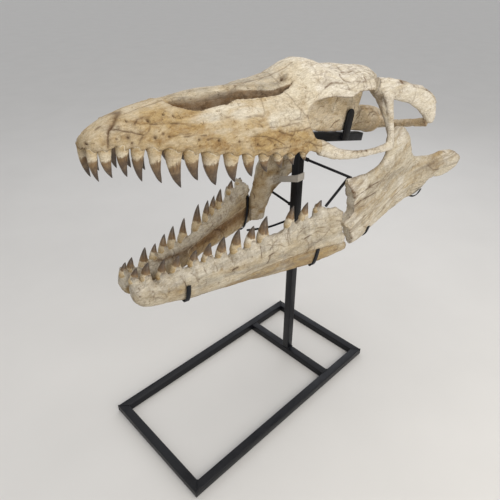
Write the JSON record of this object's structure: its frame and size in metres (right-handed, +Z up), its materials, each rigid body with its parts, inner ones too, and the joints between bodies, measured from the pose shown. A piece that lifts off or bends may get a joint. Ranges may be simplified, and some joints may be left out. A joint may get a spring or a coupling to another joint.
{
  "type": "fossil mosasaur skull on a stand",
  "caption": "Life-size fossil skull of a large marine lizard, jaws open, held by a black steel post on a rectangular floor frame.",
  "frame": {"origin": "middle of the upright post, at the floor", "axes": "+X towards the back of the skull, snout towards -X; +Y towards the animal's right; +Z up"},
  "size_m": [1.4085, 0.5148, 1.2119],
  "materials": {
    "cranium_bone": "matt cream to tan fossil bone",
    "jaw_bone": "matt pale cream fossil bone",
    "inner_bone": "matt tan-brown fossil bone",
    "black_steel": "satin black, worn in places",
    "grey_strap": "pale grey webbing"
  },
  "bodies": {
    "root": {"premaxilla": "cranium_bone", "maxilla_left": "cranium_bone", "maxilla_right": "cranium_bone", "prefrontal_left": "cranium_bone", "prefrontal_right": "cranium_bone", "postorbital_left": "cranium_bone", "postorbital_right": "cranium_bone", "jugal_left": "cranium_bone", "jugal_right": "cranium_bone", "squamosal_left": "cranium_bone", "squamosal_right": "cranium_bone", "frontal": "cranium_bone", "parietal": "cranium_bone", "dentary_left": "jaw_bone", "dentary_right": "jaw_bone", "coronoid_left": "jaw_bone", "articular_left": "jaw_bone", "angular_left": "jaw_bone", "surangular_left": "jaw_bone", "surangular_right": "jaw_bone", "braincase": "inner_bone", "splenial_left": "inner_bone", "splenial_right": "inner_bone", "stand_base_left": "black_steel", "stand_base_right": "black_steel", "stand_base_front": "black_steel", "stand_base_rear": "black_steel", "stand_cross": "black_steel", "stand_post": "black_steel", "stand_rail": "black_steel", "stand_pad": "black_steel", "stand_rod_left_upper": "black_steel", "stand_rod_left_lower": "black_steel", "stand_rod_right": "black_steel", "stand_arm_left_front": "black_steel", "stand_arm_left_rear": "black_steel", "stand_arm_right_front": "black_steel", "stand_clip_left_front": "black_steel", "stand_clip_left_rear": "black_steel", "stand_clip_right": "black_steel", "stand_clip_left_angular": "black_steel", "stand_clip_left_articular": "black_steel", "stand_strap": "grey_strap"}
  },
  "joints": []
}
